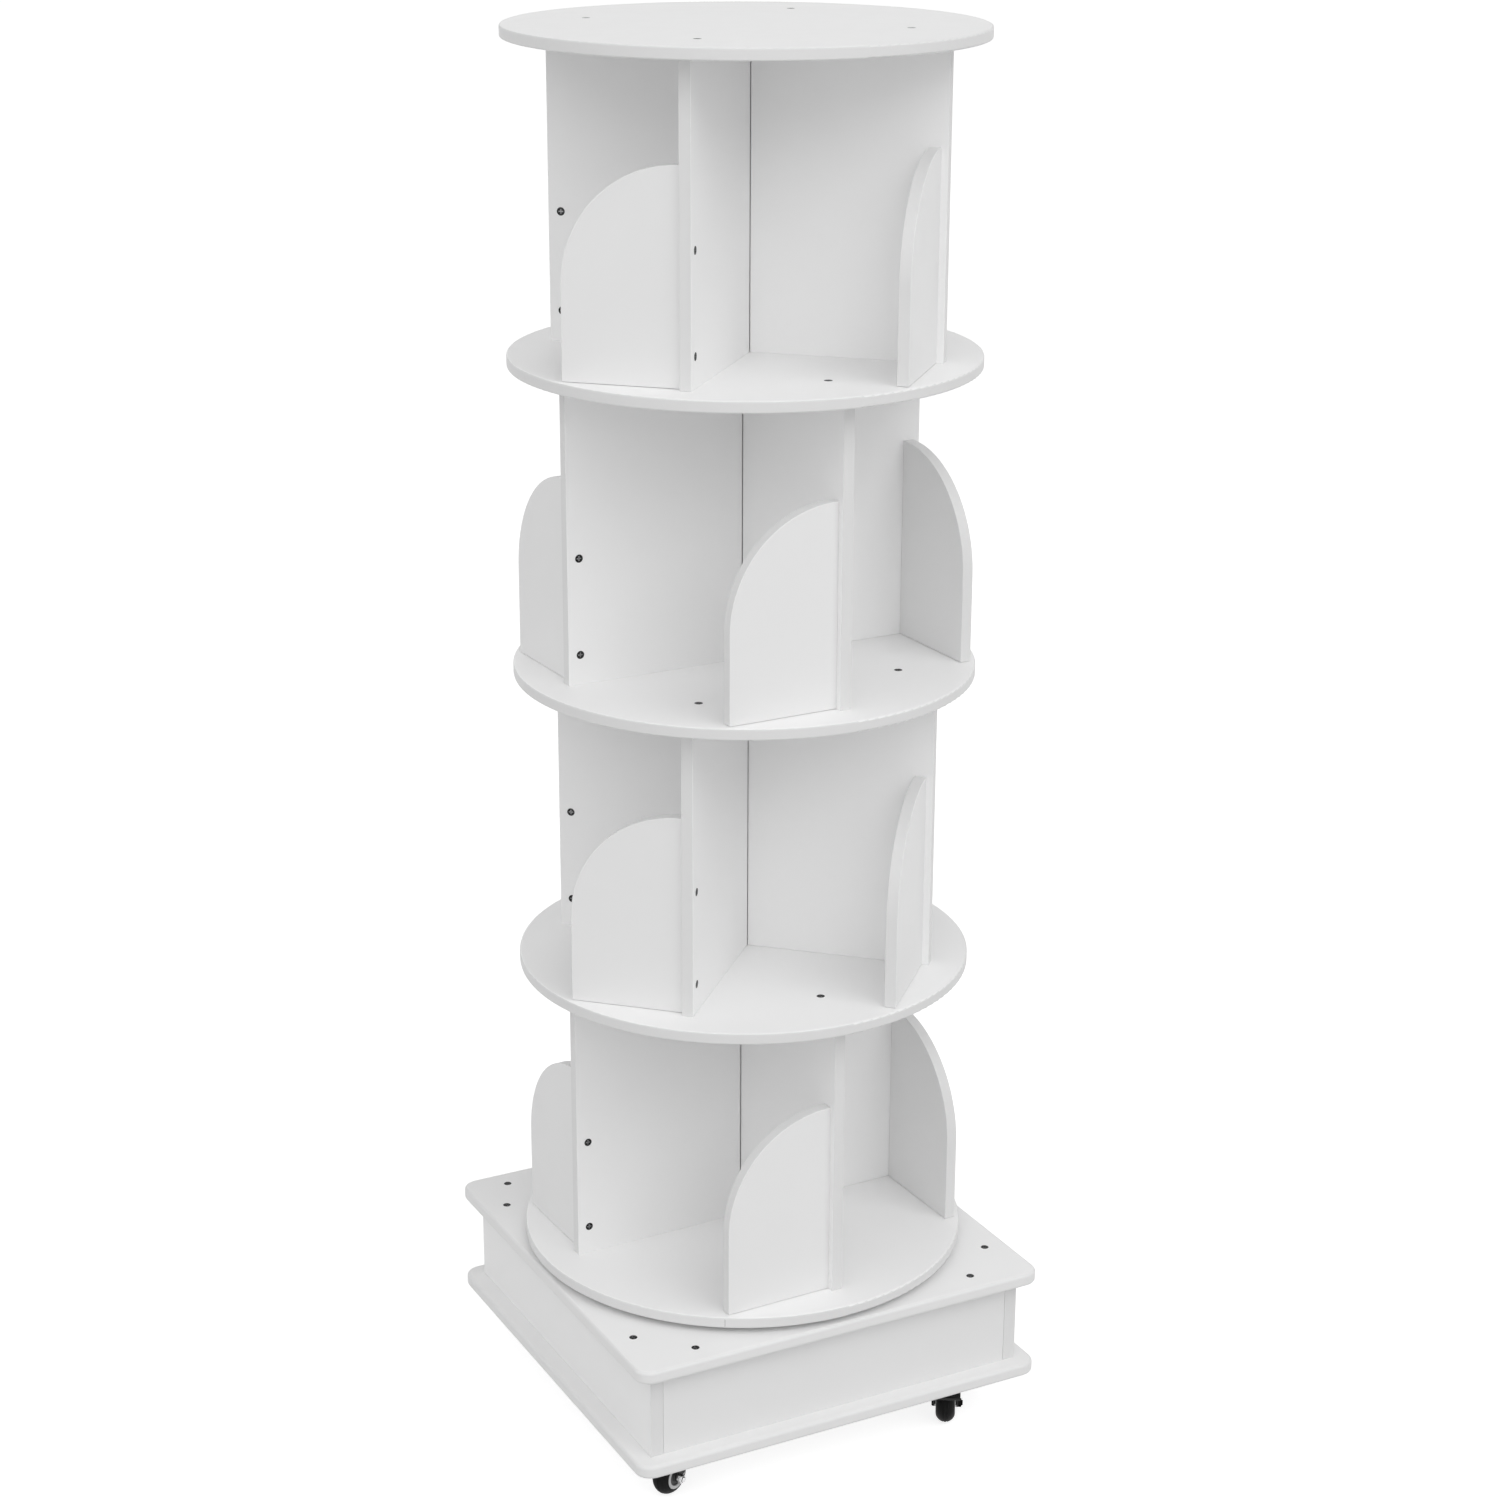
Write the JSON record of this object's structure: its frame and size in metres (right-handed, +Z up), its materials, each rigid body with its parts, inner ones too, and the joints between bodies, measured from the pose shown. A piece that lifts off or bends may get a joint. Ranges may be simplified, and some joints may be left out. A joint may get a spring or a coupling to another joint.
{
  "type": "revolving bookcase",
  "caption": "White revolving bookcase: round shelves with crossed panels and arched book stops turn on a square base box that rolls on casters.",
  "frame": {"origin": "on the spin axis at floor level, under the middle of the base", "axes": "+Z up along the spin axis, base sides parallel to X and Y, front towards -Y"},
  "size_m": [0.4, 0.4, 1.238],
  "materials": {
    "white_board": "white laminated fibreboard with matching edge band, satin",
    "screw_steel": "dark zinc",
    "turntable_steel": "zinc plated",
    "dowel_wood": "raw beech",
    "caster_steel": "black painted steel",
    "caster_black": "black painted steel",
    "tyre_black": "matte black rubber",
    "hub_grey": "moulded grey plastic",
    "axle_steel": "bright zinc",
    "pedal_black": "moulded black plastic"
  },
  "bodies": {
    "base": {"base_bottom_board": "white_board", "base_top_board": "white_board", "base_left_board": "white_board", "base_right_board": "white_board", "base_front_board": "white_board", "base_back_board": "white_board", "base_screws": "screw_steel", "turntable_lower_plate": "turntable_steel", "turntable_lower_screws": "screw_steel", "caster_plates": "caster_steel", "caster_screws": "screw_steel"},
    "carousel": {"turntable_upper_plate": "turntable_steel", "turntable_upper_screws": "screw_steel", "bottom_disc": "white_board", "lower_shelf_disc": "white_board", "middle_shelf_disc": "white_board", "upper_shelf_disc": "white_board", "top_disc": "white_board", "tier_1_panel_1": "white_board", "tier_1_panel_2": "white_board", "tier_1_panel_3": "white_board", "tier_1_panel_4": "white_board", "tier_2_panel_1": "white_board", "tier_2_panel_2": "white_board", "tier_2_panel_3": "white_board", "tier_2_panel_4": "white_board", "tier_3_panel_1": "white_board", "tier_3_panel_2": "white_board", "tier_3_panel_3": "white_board", "tier_3_panel_4": "white_board", "tier_4_panel_1": "white_board", "tier_4_panel_2": "white_board", "tier_4_panel_3": "white_board", "tier_4_panel_4": "white_board", "tier_1_book_stops": "white_board", "tier_2_book_stops": "white_board", "tier_3_book_stops": "white_board", "tier_4_book_stops": "white_board", "stop_screws": "screw_steel", "panel_screws": "screw_steel", "panel_dowels": "dowel_wood"},
    "ball_ring": {"turntable_balls": "turntable_steel"},
    "front_left_swivel": {"front_left_caster_fork": "caster_black", "front_left_caster_axle": "axle_steel"},
    "front_left_wheel": {"front_left_caster_tyre": "tyre_black", "front_left_caster_hub": "hub_grey"},
    "front_right_swivel": {"front_right_caster_fork": "caster_black", "front_right_caster_axle": "axle_steel"},
    "front_right_wheel": {"front_right_caster_tyre": "tyre_black", "front_right_caster_hub": "hub_grey"},
    "front_right_brake": {"front_right_caster_brake_pedal": "pedal_black"},
    "back_left_swivel": {"back_left_caster_fork": "caster_black", "back_left_caster_axle": "axle_steel"},
    "back_left_wheel": {"back_left_caster_tyre": "tyre_black", "back_left_caster_hub": "hub_grey"},
    "back_left_brake": {"back_left_caster_brake_pedal": "pedal_black"},
    "back_right_swivel": {"back_right_caster_fork": "caster_black", "back_right_caster_axle": "axle_steel"},
    "back_right_wheel": {"back_right_caster_tyre": "tyre_black", "back_right_caster_hub": "hub_grey"}
  },
  "joints": [
    {"name": "carousel_spin", "type": "hinge", "parent": "base", "child": "carousel", "pos_m": [0, 0, 0.153], "axis": [0, 0, 1], "continuous": true},
    {"name": "ball_ring_spin", "type": "hinge", "parent": "base", "child": "ball_ring", "pos_m": [0, 0, 0.153], "axis": [0, 0, 1], "continuous": true},
    {"name": "front_left_swivel_turn", "type": "hinge", "parent": "base", "child": "front_left_swivel", "pos_m": [-0.1345, -0.148, 0.039], "axis": [0, 0, 1], "continuous": true},
    {"name": "front_left_wheel_roll", "type": "hinge", "parent": "front_left_swivel", "child": "front_left_wheel", "pos_m": [-0.15353, -0.15687, 0.018], "axis": [0.4226, -0.9063, 0], "continuous": true},
    {"name": "front_right_swivel_turn", "type": "hinge", "parent": "base", "child": "front_right_swivel", "pos_m": [0.1345, -0.148, 0.039], "axis": [0, 0, 1], "continuous": true},
    {"name": "front_right_wheel_roll", "type": "hinge", "parent": "front_right_swivel", "child": "front_right_wheel", "pos_m": [0.12337, -0.16581, 0.018], "axis": [0.848, -0.5299, 0], "continuous": true},
    {"name": "front_right_brake_press", "type": "hinge", "parent": "front_right_swivel", "child": "front_right_brake", "pos_m": [0.12708, -0.15987, 0.034], "axis": [0.848, -0.5299, 0], "range_deg": [0, 18]},
    {"name": "back_left_swivel_turn", "type": "hinge", "parent": "base", "child": "back_left_swivel", "pos_m": [-0.1345, 0.148, 0.039], "axis": [0, 0, 1], "continuous": true},
    {"name": "back_left_wheel_roll", "type": "hinge", "parent": "back_left_swivel", "child": "back_left_wheel", "pos_m": [-0.11477, 0.15518, 0.018], "axis": [-0.342, 0.9397, 0], "continuous": true},
    {"name": "back_left_brake_press", "type": "hinge", "parent": "back_left_swivel", "child": "back_left_brake", "pos_m": [-0.12134, 0.15279, 0.034], "axis": [-0.342, 0.9397, 0], "range_deg": [0, 18]},
    {"name": "back_right_swivel_turn", "type": "hinge", "parent": "base", "child": "back_right_swivel", "pos_m": [0.1345, 0.148, 0.039], "axis": [0, 0, 1], "continuous": true},
    {"name": "back_right_wheel_roll", "type": "hinge", "parent": "back_right_swivel", "child": "back_right_wheel", "pos_m": [0.11631, 0.1585, 0.018], "axis": [-0.5, -0.866, 0], "continuous": true}
  ],
  "couplings": [
    {"joint": "ball_ring_spin", "follows": "carousel_spin", "ratio": 0.5}
  ]
}
